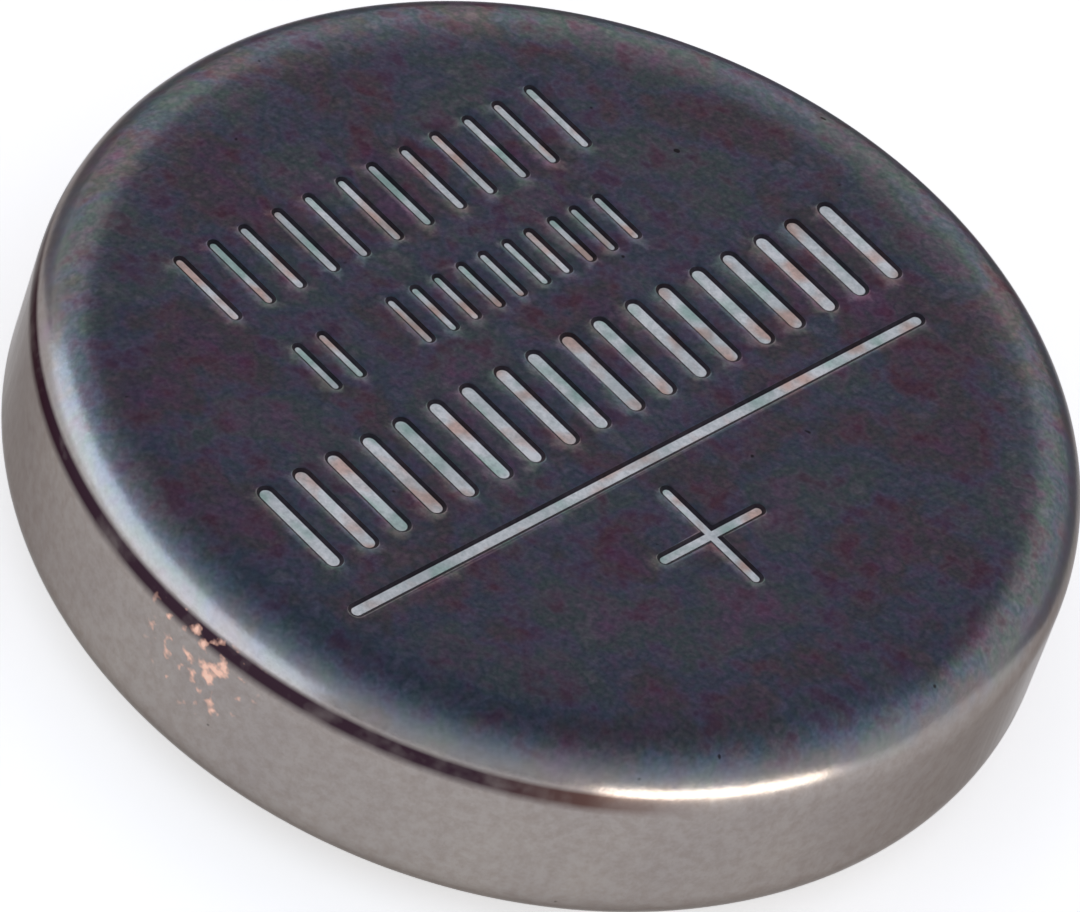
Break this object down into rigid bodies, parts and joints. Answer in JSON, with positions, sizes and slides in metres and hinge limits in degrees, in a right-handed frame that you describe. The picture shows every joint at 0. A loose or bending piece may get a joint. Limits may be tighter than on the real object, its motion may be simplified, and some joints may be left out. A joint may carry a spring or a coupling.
{
  "type": "lithium coin cell",
  "caption": "Small round lithium battery cell: crimped steel can as the positive pole, stepped cap as the negative pole, with its electrodes, separator and gasket inside.",
  "frame": {"origin": "centre of the negative cap's flat contact face, which the cell rests on", "axes": "+Z along the cell's axis, from the negative cap to the positive can's face; X and Y across it, with the coined rows of marks 57 degrees from +X"},
  "size_m": [0.01, 0.01, 0.0025],
  "materials": {
    "nickel_plated_can": "satin nickel plate on drawn stainless steel",
    "collector_net": "bare expanded stainless steel",
    "support_ring": "bare stamped stainless steel",
    "cathode_mix": "pressed manganese dioxide and graphite powder",
    "separator_felt": "non-woven polypropylene",
    "lithium_metal": "rolled lithium with a dull skin",
    "gasket_plastic": "moulded polypropylene",
    "cap_steel": "nickel plate on stainless steel, with fine turned lines"
  },
  "bodies": {
    "root": {"positive_can": "nickel_plated_can", "cathode_collector": "collector_net", "cathode_ring": "support_ring", "cathode_pellet": "cathode_mix", "separator": "separator_felt", "lithium_anode": "lithium_metal", "gasket": "gasket_plastic", "negative_cap": "cap_steel"}
  },
  "joints": []
}
